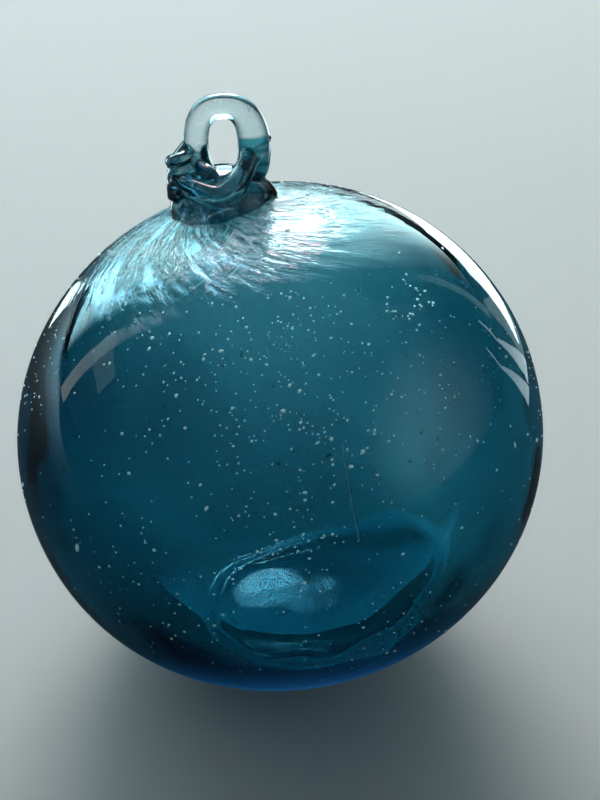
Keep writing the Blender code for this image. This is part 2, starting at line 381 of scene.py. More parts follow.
def flat_card(name, centre, across, up, material):
    """A stage card about a centre, given by its two half sides."""
    centre, across, up = Vector(centre), Vector(across), Vector(up)
    work = bmesh.new()
    bmesh.ops.create_grid(work, x_segments=1, y_segments=1, size=1.0)
    square = across.cross(up).normalized()
    place = Matrix((across, up, square)).transposed().to_4x4()
    bmesh.ops.transform(work, matrix=Matrix.Translation(centre) @ place, verts=work.verts)
    card = new_object(name, work)
    card.data.materials.append(material)
    card.visible_camera = False
    card.visible_shadow = False
    return card


def glow(name, colour, strength, see_through=True):
    """A light that covers nothing behind it, unless it is told to."""
    material = bpy.data.materials.new(name)
    material.use_nodes = True
    tree = material.node_tree
    tree.nodes.clear()
    light = tree.nodes.new("ShaderNodeEmission")
    light.inputs["Color"].default_value = colour + (1.0,)
    light.inputs["Strength"].default_value = strength
    surface = light.outputs["Emission"]
    if see_through:
        both = tree.nodes.new("ShaderNodeAddShader")
        tree.links.new(surface, both.inputs[0])
        tree.links.new(tree.nodes.new("ShaderNodeBsdfTransparent").outputs["BSDF"], both.inputs[1])
        surface = both.outputs["Shader"]
    out = tree.nodes.new("ShaderNodeOutputMaterial")
    tree.links.new(surface, out.inputs["Surface"])
    return material, tree, light


def brightness_by_height(tree, height, stops):
    """Brightness at heights above the floor, blended between the stops. The heights are in metres."""
    top = stops[-1][0]
    node = tree.nodes.new("ShaderNodeValToRGB")
    points = node.color_ramp.elements
    for index, (level, value) in enumerate(stops):
        point = points[index] if index < 2 else points.new(1.0)
        point.position = level / top
        point.color = (value, value, value, 1.0)
    feed(tree.links, node.inputs["Fac"], times(tree, height, 1 / top))
    return node.outputs["Color"]


ARCH_SQUARENESS = 2.2


def soft_arch(tree, place, middle, half_width, shoulder, rise, full, edge):
    """1 inside an arch that stands on the floor, with soft edges."""
    across = maths(tree, "MULTIPLY_ADD", place["X"], 1 / half_width, -middle / half_width)
    above = maths(tree, "MULTIPLY_ADD", place["Z"], 1 / rise, -shoulder / rise)
    distances = maths(tree, "ABSOLUTE", across), maths(tree, "MAXIMUM", above, 0.0)
    bends = [maths(tree, "POWER", distance, ARCH_SQUARENESS) for distance in distances]
    return ramp(tree, maths(tree, "ADD", *bends), edge, full)


def window_glow():
    """Daylight through a wide arch, brightest low down, with soft edges and a dim corner low on the right."""
    material, tree, light = glow("window_glow", (0.61, 0.95, 1.0), 1.0, see_through=False)
    place = split(tree, coordinates(tree))
    arch = soft_arch(
        tree, place, middle=-0.33, half_width=1.07, shoulder=0.75, rise=1.60, full=0.20, edge=1.30)
    height = brightness_by_height(tree, place["Z"], ((0.1, 1.0), (0.9, 0.75), (1.5, 0.42), (2.5, 0.16)))
    corner = times(tree, ramp(tree, place["X"], 0.38, 0.66), ramp(tree, place["Z"], 1.0, 0.30))
    corner = maths(tree, "MULTIPLY_ADD", corner, -0.75, 1.0)
    feed(tree.links, light.inputs["Strength"], times(tree, arch, corner, height, 6.4))
    return material


def sky_glow():
    """The brightest patch of sky, low in the window, which fades upwards."""
    material, tree, light = glow("sky_glow", (0.95, 0.99, 1.0), 1.0)
    place = split(tree, coordinates(tree))
    side = ramp(tree, maths(tree, "ABSOLUTE", maths(tree, "ADD", place["X"], 0.06)), 0.36, 0.20)
    height = brightness_by_height(
        tree, place["Z"], ((0.38, 0.0), (0.45, 1.0), (0.60, 1.0), (0.75, 0.35), (1.0, 0.0)))
    feed(tree.links, light.inputs["Strength"], times(tree, side, height, 27.0))
    return material


def curtain_glow():
    """Warm light that fades upwards."""
    material, tree, light = glow("curtain_glow", (1.0, 0.92, 0.80), 1.0)
    height = split(tree, coordinates(tree))["Z"]
    fade = brightness_by_height(tree, height, ((0.0, 1.0), (0.7, 0.9), (1.4, 0.45), (2.2, 0.0)))
    feed(tree.links, light.inputs["Strength"], times(tree, fade, 1.25))
    return material


def soft_card(name, centre, across, up, colour, strength, reach):
    """A flat card whose glow fades to nothing at its reach from the centre."""
    material, tree, light = glow(name + "_glow", colour, strength)
    away = vector_maths(tree, "DISTANCE", coordinates(tree), centre)["Value"]
    feed(tree.links, light.inputs["Strength"], times(tree, ramp(tree, away, reach, 0.0), strength))
    return flat_card(name, centre, across, up, material)


def light_window():
    """The window and the sky. The reddish patches are seen only through the glass, which whitens them."""
    flat_card("window", (0.0, 1.0, 1.28), (1.7, 0.0, 0.0), (0.0, 0.0, 1.22), window_glow())
    strip = flat_card("sky_strip", (-0.06, 0.97, 0.70), (0.40, 0.0, 0.0), (0.0, 0.0, 0.32), sky_glow())
    hide_from(strip, "transmission")
    deep = soft_card(
        "deep_sky", (-0.03, 0.98, 0.86), (0.50, 0.0, 0.0), (0.0, 0.0, 0.30),
        colour=(1.0, 0.17, 0.135), strength=420.0, reach=0.36)
    high = soft_card(
        "high_sky", (0.02, 0.80, 1.62), (0.50, 0.0, 0.0), (0.0, -0.03, 0.06),
        colour=(1.0, 0.30, 0.25), strength=220.0, reach=0.55)
    for card in (deep, high):
        hide_from(card, "glossy", "diffuse")


def light_left():
    """What the left side mirrors: a band on the floor, a small pane and a curtain."""
    band = soft_card(
        "band_left", (-0.60, 0.40, 0.0), (0.10, 0.15, 0.0), (-0.50, 0.33, 0.0),
        colour=(0.62, 0.88, 1.0), strength=1.5, reach=0.62)
    hide_from(band, "transmission", "diffuse")
    side, _, _ = glow("side_glow", (0.9, 1.0, 0.95), 0.6)
    pane = flat_card("side_window", (-0.95, 0.25, 0.42), (0.04, 0.16, 0.0), (0.0, 0.0, 0.09), side)
    hide_from(pane, "transmission")
    flat_card("curtain", (-1.21, 0.49, 1.10), (0.026, 0.066, 0.0), (0.0, 0.0, 1.10), curtain_glow())


def light_sill():
    """The bright sill and the thin light frames that the crown and the right side mirror."""
    sill, _, _ = glow("sill_glow", (0.85, 0.98, 1.0), 4.5)
    pale, _, _ = glow("frame_glow", (0.80, 0.97, 1.0), 1.6)
    faint, _, _ = glow("band_glow", (0.75, 0.98, 1.0), 0.5)
    for name, centre, across, up, material in (
            ("sill_middle", (0.08, 0.43, 0.0), (0.10, 0.0, 0.0), (0.0, 0.11, 0.0), pale),
            ("sill_right", (0.20, 0.39, 0.0), (0.060, -0.030, 0.0), (0.11, 0.215, 0.0), sill),
            ("sill_left", (-0.135, 0.20, 0.0), (0.012, 0.010, 0.0), (-0.03, 0.045, 0.0), sill),
            ("band_low", (0.47, 0.54, 0.0), (0.023, -0.020, 0.0), (0.35, 0.405, 0.0), faint),
            ("band_tall", (0.90, 0.94, 0.36), (0.028, -0.026, 0.0), (0.0, 0.0, 0.36), faint),
            ("frame_near", (0.55, 0.44, 0.0), (0.007, -0.009, 0.0), (0.41, 0.33, 0.0), pale),
            ("frame_near_tall", (1.02, 0.81, 0.10), (0.007, -0.009, 0.0), (0.0, 0.0, 0.10), pale),
            ("frame_far", (0.60, 0.35, 0.0), (0.005, -0.008, 0.0), (0.45, 0.26, 0.0), pale),
            ("frame_far_tall", (1.12, 0.65, 0.09), (0.005, -0.008, 0.0), (0.0, 0.0, 0.09), pale)):
        hide_from(flat_card(name, centre, across, up, material), "diffuse", "transmission")


def light_below():
    """A soft fill from the right, a blue mirrored glow below, and the light that the ball gathers there."""
    fill = soft_card(
        "fill_card", (1.0, -0.25, 0.50), (0.25, 0.85, 0.0), (0.0, 0.0, 0.9),
        colour=(1.0, 0.98, 0.92), strength=0.62, reach=0.9)
    hide_from(fill, "transmission")
    blue = soft_card(
        "underside", (0.01, -0.035, -0.02 * MM), (0.055, 0.0, 0.0), (0.0, 0.035, 0.0),
        colour=(0.03, 0.30, 0.85), strength=0.30, reach=0.050)
    hide_from(blue, "transmission", "diffuse")
    gathered = soft_card(
        "gathered", (2.0 * MM, -6.0 * MM, 0.03 * MM), (36.0 * MM, 0.0, 0.0), (0.0, 36.0 * MM, 0.0),
        colour=(1.0, 0.97, 0.97), strength=0.4, reach=36.0 * MM)
    hide_from(gathered, "glossy", "diffuse")


def light_room():
    bpy.context.scene.view_settings.view_transform = "Standard"
    light_window()
    light_left()
    light_sill()
    light_below()
    world = bpy.data.worlds.new("room")
    world.use_nodes = True
    tree = world.node_tree
    height = split(tree, coordinates(tree, "Generated"))["Z"]
    room = brightness_by_height(tree, height, ((0.0, 0.05), (0.4, 0.11), (1.0, 0.30)))
    tree.links.new(room, tree.nodes["Background"].inputs["Strength"])
    tree.nodes["Background"].inputs["Color"].default_value = (0.58, 0.92, 1.0, 1.0)
    bpy.context.scene.world = world


BACKDROP_RADIUS, BACKDROP_DEPTH = 3.9, 6.0


def hang_backdrop():
    """A plain pale wall all round, which only the camera sees."""
    work = bmesh.new()
    bmesh.ops.create_cone(
        work, cap_ends=False, segments=64, radius1=BACKDROP_RADIUS, radius2=BACKDROP_RADIUS,
        depth=BACKDROP_DEPTH)
    wall = new_object("backdrop", work)
    pale, _, _ = glow("pale_backdrop", (0.60, 0.61, 0.61), 1.0, see_through=False)
    wall.data.materials.append(pale)
    hide_from(wall, "diffuse", "glossy", "transmission", "volume_scatter", "shadow")


def lay_floor():
    """A pale floor, and just over it a dark card that only reflections see."""
    work = bmesh.new()
    bmesh.ops.create_grid(work, x_segments=1, y_segments=1, size=4.0)
    bmesh.ops.translate(work, vec=(0.0, 0.0, -0.1 * MM), verts=work.verts)
    floor = new_object("floor", work)
    pale, _, _ = principled("pale_floor", {
        "Base Color": (0.40, 0.348, 0.335, 1.0), "Roughness": 0.6, "Specular IOR Level": 0.2})
    floor.data.materials.append(pale)
    dark, _, _ = principled("dark_card", {
        "Base Color": (0.024, 0.032, 0.038, 1.0), "Roughness": 0.8, "Specular IOR Level": 0.0})
    card = flat_card("dark_card", (0.0, 0.0, -0.05 * MM), (3.9, 0.0, 0.0), (0.0, 3.9, 0.0), dark)
    hide_from(card, "diffuse", "transmission")


# Glass

def glass_shader(name, tint, density):
    """Clear or tinted glass: the colour is in the thickness of the glass."""
    material, tree, shader = principled(name, {
        "Base Color": (1.0, 1.0, 1.0, 1.0), "Roughness": 0.0, "IOR": GLASS_IOR,
        "Specular Tint": (0.74, 0.95, 1.0, 1.0), "Transmission Weight": 1.0})
    volume = tree.nodes.new("ShaderNodeVolumeAbsorption")
    volume.inputs["Color"].default_value = tint + (1.0,)
    volume.inputs["Density"].default_value = density
    tree.links.new(volume.outputs["Volume"], tree.nodes["Material Output"].inputs["Volume"])
    return material, tree, shader


def blown_glass():
    """Teal glass with drag lines that swirl out of the neck, and a film of colours beside it."""
    material, tree, shader = glass_shader("teal_glass", TEAL, TEAL_DENSITY)
    place = neck_coordinates(tree)
    across, _, up = split(tree, place)
    radius, drawn = swirl_coordinates(tree, place)
    upper_half = ramp(tree, up, 0.0, 20.0 * MM)
    left_side = ramp(tree, across, 30.0 * MM, 8.0 * MM)
    lines = ramp(tree, noise_value(tree, drawn, 9.5, 4.5), 0.34, 0.62)
    lines = times(tree, lines, maths(tree, "MULTIPLY_ADD", left_side, 0.3, 0.7))
    lines = maths(tree, "MULTIPLY_ADD", noise_value(tree, place, 150.0, 4.0, 0.6), 0.45, lines)
    lines = maths(tree, "MULTIPLY_ADD", noise_value(tree, drawn, 46.0, 4.0), 0.18, lines)
    relief = times(tree, lines, ramp(tree, radius, 36.0 * MM, 12.0 * MM), upper_half)
    relief = maths(tree, "MULTIPLY_ADD", noise_value(tree, place, 60.0, 2.0, 0.35), 0.36, relief)
    raise_relief(tree, shader, relief, TEAL_RELIEF)
    film = times(
        tree, ramp(tree, radius, 40.0 * MM, 22.0 * MM), upper_half, ramp(tree, across, 12.0 * MM, -6.0 * MM),
        ramp(tree, noise_value(tree, drawn, 4.0, 3.0), 0.42, 0.62), FILM_THICKNESS)
    feed(tree.links, shader.inputs["Thin Film Thickness"], film)
    shader.inputs["Thin Film IOR"].default_value = FILM_IOR
    return material


def wall_at(turn):
    """Thickness of the wall at a turn from the crown."""
    degrees = math.degrees(turn)
    wall = SHOULDER_WALL + (SIDE_WALL - SHOULDER_WALL) * ease((degrees - 26.0) / 34.0)
    wall += (BASE_WALL - SIDE_WALL) * ease((degrees - 146.5) / 4.5)
    return wall + BASE_RIDGE * math.exp(-((degrees - 149.5) / 2.2) ** 2)


SHELL_RINGS, SHELL_SPOKES = 120, 240


def turned_shell(rings, spokes, inside):
    """One skin of the ball, turned about the neck's axis."""
    work = bmesh.new()
    verts = []
    for ring in range(rings + 1):
        turn = math.pi * ring / rings
        radius, height = ball_point(turn)
        if inside:
            ahead = ball_point(min(turn + 0.002, math.pi))
            behind = ball_point(max(turn - 0.002, 0.0))
            along = Vector((ahead[0] - behind[0], ahead[1] - behind[1])).normalized()
            radius += along.y * wall_at(turn)
            height -= along.x * wall_at(turn)
        if ring in (0, rings):
            radius = 0.0
        verts.append(work.verts.new((max(radius, 0.0), 0.0, height)))
    for above, below in zip(verts, verts[1:]):
        work.edges.new((above, below))
    bmesh.ops.spin(
        work, geom=work.verts[:] + work.edges[:], cent=(0, 0, 0), axis=(0, 0, 1),
        angle=math.tau, steps=spokes, use_merge=True)
    bmesh.ops.remove_doubles(work, verts=work.verts, dist=0.002 * MM)
    bmesh.ops.recalc_face_normals(work, faces=work.faces)
    return work


def swirled(place, fineness):
    """Noise that runs in lines out of the neck, turning as they go."""
    radius = math.hypot(place.x, place.y)
    angle = math.atan2(place.y, place.x) - SWIRL * radius
    return noise.noise(Vector((math.cos(angle) * fineness, math.sin(angle) * fineness, radius * 40.0)))


def wobble_inside(work):
    """The hollow's skin: the wall is thickest low on the left, with waves, drag lines and a rippled base."""
    heavy = (NECK.to_3x3().inverted() @ HEAVY_DIRECTION).normalized()
    for vert in work.verts:
        place = vert.co.copy()
        outward = place.normalized()
        turn = math.degrees(math.acos(max(min(outward.z, 1.0), -1.0)))
        waves = rippled(place, HOLLOW_WAVES)
        waves *= 0.22 + 0.78 * ease((turn - 34.0) / 30.0) * ease((150.0 - turn) / 20.0)
        waves -= HEAVY_SIDE * ease(0.5 + 0.5 * outward.dot(heavy)) * ease((turn - 30.0) / 40.0)
        lines = DRAG_LINE_HEIGHT * swirled(place, 7.0) * ease((58.0 - turn) / 20.0) * ease((turn - 8.0) / 8.0)
        pool = rippled(place, POOL_RIPPLES) * ease((turn - 146.0) / 10.0)
        vert.co = place + outward * (waves + lines + pool)


def blow_ball():
    """The ball's outer skin and its hollow's skin in one piece. Returns them as a tree to cast rays at."""
    outer = turned_shell(SHELL_RINGS, SHELL_SPOKES, False)
    inner = turned_shell(SHELL_RINGS, SHELL_SPOKES, True)
    wobble_inside(inner)
    bmesh.ops.translate(inner, vec=HOLLOW_SHIFT, verts=inner.verts)
    bmesh.ops.reverse_faces(inner, faces=inner.faces)
    for vert in outer.verts:
        vert.co += vert.co.normalized() * rippled(vert.co, OUTSIDE_WAVES)
    add_mesh(outer, inner)
    bmesh.ops.transform(outer, matrix=NECK, verts=outer.verts)
    for vert in outer.verts:
        vert.co.z = max(vert.co.z, 0.0)
    for face in outer.faces:
        face.smooth = True
    skin = BVHTree.FromBMesh(outer)
    ball = new_object("blown_ball", outer)
    ball.data.materials.append(blown_glass())
    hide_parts("glass_ball")
    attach(ball, "root")
    return skin


# Seeds: the small bubbles in the wall

def random_vector(dice, spread):
    return Vector([dice.gauss(0.0, spread) for _ in range(3)])


def seed_matrix(place, outward, radius, stretch=1.0, along=None):
    """The place of one bubble, drawn out along the skin."""
    along = along or outward.orthogonal().normalized()
    along = (along - outward * along.dot(outward)).normalized()
    across = outward.cross(along)
    turn = Matrix((along * radius * stretch, across * radius, outward * radius * 0.85)).transposed().to_4x4()
    return Matrix.Translation(place) @ turn


def blow_seeds(places):
    """Bubbles at their places, made a few at a time, because a large mesh slows each one down."""
    seeds = bmesh.new()
    for start in range(0, len(places), SEEDS_AT_A_TIME):
        few = bmesh.new()
        for place in places[start:start + SEEDS_AT_A_TIME]:
            bmesh.ops.create_uvsphere(few, u_segments=8, v_segments=5, radius=1.0, matrix=place)
        add_mesh(seeds, few)
    return seeds


def on_skin(skin, outward):
    """The ball's surface and its normal in a direction from its centre."""
    hit, normal, _, _ = skin.ray_cast(CENTRE + outward * 2.0 * BALL_RADIUS, -outward)
    return hit, normal


def seen_on_skin(skin, x, y):
    """The ball's surface and its normal where the camera sees it at a pixel."""
    hit, normal, _, _ = skin.ray_cast(CAMERA_PLACE, pixel_ray(x, y))
    return hit, normal


def seeds_all_round(skin, dice):
    """Bubbles all over the ball, about half of them in clusters, but none at the neck or on the floor."""
    places = []
    neck = NECK.to_3x3() @ Vector((0.0, 0.0, 1.0))
    clusters = [random_vector(dice, 1.0).normalized() for _ in range(SEED_CLUSTERS)]
    while len(places) < SEED_COUNT:
        if dice.random() < 0.45:
            outward = dice.choice(clusters) + random_vector(dice, 0.13)
        else:
            outward = random_vector(dice, 1.0)
        outward.normalize()
        if not 15.0 < math.degrees(outward.angle(neck)) < 170.0:
            continue
        hit, normal = on_skin(skin, outward)
        if hit.z < FLOOR_CLEARANCE:
            continue
        radius = min(SEED_RADIUS * math.exp(dice.gauss(0.0, 0.42)), 0.42 * MM)
        stretch = 1.0 + abs(dice.gauss(0.0, 0.25))
        level = Vector((0.0, 0.0, 1.0)).cross(outward)
        places.append(seed_matrix(hit - normal * 0.30 * radius, normal, radius, stretch, level))
    return places


def seeds_in_front(skin, dice):
    """Bubbles in the part of the front where the camera sees most."""
    places = []
    for _ in range(FRONT_SEED_COUNT):
        x, y = (dice.gauss(middle, spread) for middle, spread in zip(FRONT_SEED_PIXEL, FRONT_SEED_SPREAD))
        hit, normal = seen_on_skin(skin, x, y)
        if hit is None or y < FRONT_SEED_TOP:
            continue
        radius = min(FRONT_SEED_RADIUS * math.exp(dice.gauss(0.0, 0.38)), 0.38 * MM)
        stretch = 1.0 + abs(dice.gauss(0.0, 0.3))
        places.append(seed_matrix(hit - normal * 0.25 * radius, normal, radius, stretch))
    return places


def placed_seeds(skin):
    """The large bubbles, each in its own place."""
    places = []
    for x, y, size, stretch in PLACED_SEEDS:
        hit, normal = seen_on_skin(skin, x, y)
        along = Vector((0.2, 0.0, 1.0)) if stretch > 2.0 else Vector((1.0, 0.0, 0.3))
        places.append(seed_matrix(hit - normal * 0.35 * size * MM, normal, size * MM, stretch, along))
    return places


def curl_of_seeds(skin, dice):
    """A curl of small bubbles at the upper right."""
    places = []
    x, y = CURL_PIXEL
    heading = 0.1
    for _ in range(CURL_COUNT):
        heading += dice.uniform(0.0, 0.42)
        x += CURL_STEP * math.cos(heading)
        y += CURL_STEP * math.sin(heading)
        hit, normal = seen_on_skin(skin, x + dice.gauss(0.0, CURL_SCATTER), y + dice.gauss(0.0, CURL_SCATTER))
        size = dice.uniform(0.10, 0.30)
        places.append(seed_matrix(hit - normal * 0.35 * size * MM, normal, size * MM, 1.2))
    return places


def seeds_in_ring(dice):
    places = []
    for _ in range(RING_SEED_COUNT):
        spread = random_vector(dice, 0.7) * MM
        place = NECK @ (ring_place(dice.uniform(-50.0, 220.0)) + spread)
        places.append(seed_matrix(place, FRONT, dice.uniform(0.05, 0.12) * MM))
    return places


def sow_seeds(skin):
    dice = random.Random(11)
    places = seeds_all_round(skin, dice) + seeds_in_front(skin, dice) + placed_seeds(skin)
    places += curl_of_seeds(skin, dice) + seeds_in_ring(dice)
    work = blow_seeds(places)
    for face in work.faces:
        face.smooth = True
    seeds = new_object("seed_bubbles", work)
    seeds.data.materials.append(seed_painted_sheen_and_shade())
    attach(seeds, "root")


def seed_painted_sheen_and_shade():
    """A bubble's skin in glass, bright by painted reflection, and dimmer low in the ball by painted shade."""
    material, tree, shader = principled("seed_painted_sheen_and_shade", {"Metallic": 0.0, "Roughness": 0.25})
    # Painted shade: the base colour darkens from pale cyan to dark teal low in the ball.
    low = ramp(tree, split(tree, coordinates(tree))["Z"], 52.0 * MM, 20.0 * MM)
    tree.links.new(blend(tree, low, (0.80, 1.0, 1.0), (0.22, 0.42, 0.46)), shader.inputs["Base Color"])
    return material


def draw_long_hair(work, skin):
    knots = []
    x, y = LONG_HAIR_PIXEL
    for step in range(LONG_HAIR_KNOTS):
        aside = LONG_HAIR_WIDTH * (step / (LONG_HAIR_KNOTS - 1)) ** 1.3
        hit, normal = seen_on_skin(skin, x + aside, y + LONG_HAIR_DROP * step)
        knots.append((*(hit - normal * 0.3 * MM), LONG_HAIR_RADIUS))
    draw_strand(work, knots, 18, 6, Vector((1.0, 0.3, 0.2)))


def draw_crown_hair(work, skin, dice):
    """One fine streak that turns as it runs out of the neck."""
    radius = dice.uniform(10.5, 20.0) * MM
    angle = math.radians(dice.uniform(175.0, 290.0))
    reach = dice.uniform(2.0, 6.5) * MM
    thick = dice.uniform(0.025, 0.06) * MM
    knots = []
    for share in (0.0, 0.25, 0.5, 0.75, 1.0):
        out = radius + share * reach
        turn = angle - HAIR_SWIRL * share * reach
        place = NECK @ Vector((out * math.cos(turn), out * math.sin(turn), crown_height_at(out)))
        hit, normal = on_skin(skin, (place - CENTRE).normalized())
        knots.append((*(hit - normal * 0.3 * thick), thick * math.sin(math.pi * (0.1 + 0.8 * share))))
    draw_strand(work, knots, 14, 5, normal)


def draw_hairs(skin):
    """Bubbles drawn out to hairs: one long one in the side, and the fine streaks that run out of the neck."""
    work = bmesh.new()
    draw_long_hair(work, skin)
    dice = random.Random(5)
    for _ in range(CROWN_HAIR_COUNT):
        draw_crown_hair(work, skin, dice)
    hairs = new_object("drawn_hairs", work)
    hairs.data.shade_smooth()
    # The hairs share the bubbles' painted reflection and painted shade.
    hairs.data.materials.append(bpy.data.materials["seed_painted_sheen_and_shade"])
    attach(hairs, "root")


# Loop

def smooth_path(knots, steps):
    """Points of an even curve through the knots, each a vector of any length."""
    path = []
    last = len(knots) - 1
    for step in range(steps + 1):
        place = last * step / steps
        index = min(int(place), last - 1)
        share = place - index
        before = knots[max(index - 1, 0)]
        start = knots[index]
        end = knots[index + 1]
        after = knots[min(index + 2, last)]
        point = []
        for a, b, c, d in zip(before, start, end, after):
            bend = (2 * a - 5 * b + 4 * c - d) * share ** 2 + (3 * b - a - 3 * c + d) * share ** 3
            point.append(b + 0.5 * ((c - a) * share + bend))
        path.append(point)
    return path


def draw_strand(work, knots, steps, sides, side):
    """A round strand through knots of x, y, z and radius: a circle carried along the path by extruding it."""
    points = smooth_path(knots, steps)
    places = [Vector(point[:3]) for point in points]
    frames = []
    for index, point in enumerate(points):
        forward = (places[min(index + 1, steps)] - places[max(index - 1, 0)]).normalized()
        across = side.cross(forward).normalized()
        turn = Matrix((across, forward.cross(across), forward)).transposed().to_4x4()
        frames.append(Matrix.Translation(places[index]) @ turn @ Matrix.Scale(point[3], 4))
    made = bmesh.ops.create_circle(work, cap_ends=True, segments=sides, radius=1.0, matrix=frames[0])
    rim = list(dict.fromkeys(edge for vert in made["verts"] for edge in vert.link_edges))
    for before, after in zip(frames, frames[1:]):
        grown = bmesh.ops.extrude_edge_only(work, edges=rim)["geom"]
        rim = [item for item in grown if isinstance(item, bmesh.types.BMEdge) and item.is_boundary]
        verts = [item for item in grown if isinstance(item, bmesh.types.BMVert)]
        bmesh.ops.transform(work, matrix=after @ before.inverted(), verts=verts)
    bmesh.ops.holes_fill(work, edges=rim, sides=0)


def fuse(name, work, voxel, rounds):
    """Melts overlapping closed shapes into one skin with soft creases."""
    bmesh.ops.recalc_face_normals(work, faces=work.faces)
    lump = new_object(name, work)
    melt = lump.modifiers.new("melt", "REMESH")
    melt.mode = "VOXEL"
    melt.voxel_size = voxel
    soften = lump.modifiers.new("soften", "SMOOTH")
    soften.factor = 0.5
    soften.iterations = rounds
    bpy.context.view_layer.update()
    melted = bpy.data.meshes.new_from_object(lump.evaluated_get(bpy.context.evaluated_depsgraph_get()))
    lump.modifiers.clear()
    raw = lump.data
    lump.data = melted
    bpy.data.meshes.remove(raw)
    lump.data.name = name
    lump.data.shade_smooth()
    return lump


def collar_seat():
    return crown_height_at(COLLAR_RADIUS)


def collar_top():
    return collar_seat() + COLLAR_HEIGHT


def oval(turn, half_width, half_height):
    """A point of a squarish upright oval; turn 0 is its right side and a quarter its top."""
    power = 2.0 / HOLE_SQUARENESS
    across = math.copysign(abs(math.cos(turn)) ** power, math.cos(turn))
    up = math.copysign(abs(math.sin(turn)) ** power, math.sin(turn))
    return half_width * across, half_height * up


def ring_middle():
    return Vector((RING_SIDESTEP, 0.0, collar_top() - RING_SINK + THIN_STRAND / 2 + HOLE_HEIGHT / 2))


def ring_strand(degrees):
    """The strand's thickness round the ring, thickest low on the right."""
    share = 0.5 + 0.5 * math.cos(math.radians(degrees + 25.0))
    return THIN_STRAND + (THICK_STRAND - THIN_STRAND) * share ** 2


def ring_place(degrees):
    """A point of the strand's middle line round the hole."""
    strand = ring_strand(degrees)
    across, up = oval(math.radians(degrees), (HOLE_WIDTH + strand) / 2, (HOLE_HEIGHT + strand) / 2)
    return ring_middle() + Matrix.Rotation(RING_LEAN, 4, "Y") @ Vector((across, 0.0, up))


def ring_knots(count):
    """Knots of the strand once round the hole."""
    turns = (360.0 * step / count for step in range(count + 1))
    return [(*ring_place(degrees), ring_strand(degrees) / 2) for degrees in turns]


def sill_height():
    return ring_middle().z - HOLE_HEIGHT / 2


def loop_glass():
    """Clear over the top of the loop, teal from its seam down; painted shade: near black in the collar's
    depth, teal-grey rims.
    """
    material, tree, shader = glass_shader("clear_glass", CLEAR, CLEAR_DENSITY)
    place = neck_coordinates(tree)
    across, depth, up = split(tree, place)
    wander = maths(tree, "MULTIPLY_ADD", noise_value(tree, place, 260.0, 2.0), 2.4 * MM, -1.2 * MM)
    level = maths(tree, "ADD", up, wander)
    seam = maths(tree, "MULTIPLY_ADD", across, -0.04, level)
    teal = ramp(tree, seam, SEAM_LEVEL, SEAM_LEVEL - 0.7 * MM)
    left_leg = ramp(tree, across, -3.4 * MM, -4.2 * MM)
    rib_fronts = times(tree, ramp(tree, depth, -2.5 * MM, -3.0 * MM), ramp(tree, across, 0.5 * MM, -0.5 * MM))
    wound = maths(tree, "MAXIMUM", left_leg, rib_fronts)
    teal = maths(tree, "MAXIMUM", teal, times(tree, wound, ramp(tree, level, WOUND_LEVEL, WOUND_LEVEL - MM)))
    lap = times(
        tree, ramp(tree, depth, -4.0 * MM, -6.5 * MM), ramp(tree, level, 50.2 * MM, 51.4 * MM),
        ramp(tree, across, -3.8 * MM, -2.4 * MM))
    # Painted shade: near black low in the collar and, three quarters as much, on the wound ribs; less on the
    # lap across the front.
    deep = times(tree, ramp(tree, level, 57.0 * MM, 52.5 * MM), maths(tree, "MULTIPLY_ADD", lap, -0.9, 1.0))
    deep = maths(tree, "MAXIMUM", deep, times(tree, wound, 0.75))
    streaks = ramp(tree, noise_value(tree, place, 420.0, 3.0, 1.2), 0.45, 0.68)
    streaks = maths(tree, "MULTIPLY_ADD", streaks, -0.33, 1.0)
    teal = times(tree, teal, maths(tree, "MULTIPLY_ADD", lap, -0.5, streaks))
    # Painted shade: the clear glass darkens to teal-grey towards the rims, where the surface turns away from
    # the view.
    edge = tree.nodes.new("ShaderNodeLayerWeight")
    edge.inputs["Blend"].default_value = 0.45
    clear = blend(tree, ramp(tree, edge.outputs["Facing"], 0.03, 0.50), (1.0, 1.0, 1.0), (0.07, 0.20, 0.24))
    body = blend(tree, deep, (0.006, 0.15, 0.20), (0.003, 0.078, 0.115))
    tree.links.new(blend(tree, teal, clear, body), shader.inputs["Base Color"])
    raise_relief(tree, shader, noise_value(tree, place, 380.0, 2.0, 1.0), CLEAR_RELIEF)
    return material


def spin_collar(work):
    """The squarish dome of the collar, whose foot sweeps out on to the crown."""
    verts = []
    for step in range(25):
        share = step / 24
        turn = math.pi / 2 * min(share / 0.7, 1.0)
        radius = COLLAR_RADIUS * math.sin(turn) ** (2.0 / COLLAR_SQUARENESS)
        lift = COLLAR_HEIGHT * max(math.cos(turn), 0.0) ** (2.0 / COLLAR_SQUARENESS)
        if share > 0.55:
            foot = (share - 0.55) / 0.45
            radius = max(radius, COLLAR_RADIUS * (0.97 + (FOOT_SPREAD - 0.97) * foot ** 2))
            lift = COLLAR_HEIGHT * 0.42 * (1.0 - foot) ** 2
        height = crown_height_at(radius) + lift
        verts.append(work.verts.new((radius + COLLAR_ASIDE.x, COLLAR_ASIDE.y, height)))
    foot_radius = COLLAR_RADIUS * FOOT_SPREAD
    for radius in (foot_radius, 0.0):
        under = crown_height_at(radius) - 0.4 * MM
        verts.append(work.verts.new((radius + COLLAR_ASIDE.x, COLLAR_ASIDE.y, under)))
    verts[0].co.x = COLLAR_ASIDE.x
    edges = [work.edges.new((above, below)) for above, below in zip(verts, verts[1:])]
    bmesh.ops.spin(
        work, geom=verts + edges, cent=COLLAR_ASIDE, axis=(0, 0, 1), angle=math.tau, steps=64, use_merge=True)
    bmesh.ops.remove_doubles(work, verts=work.verts, dist=0.002 * MM)


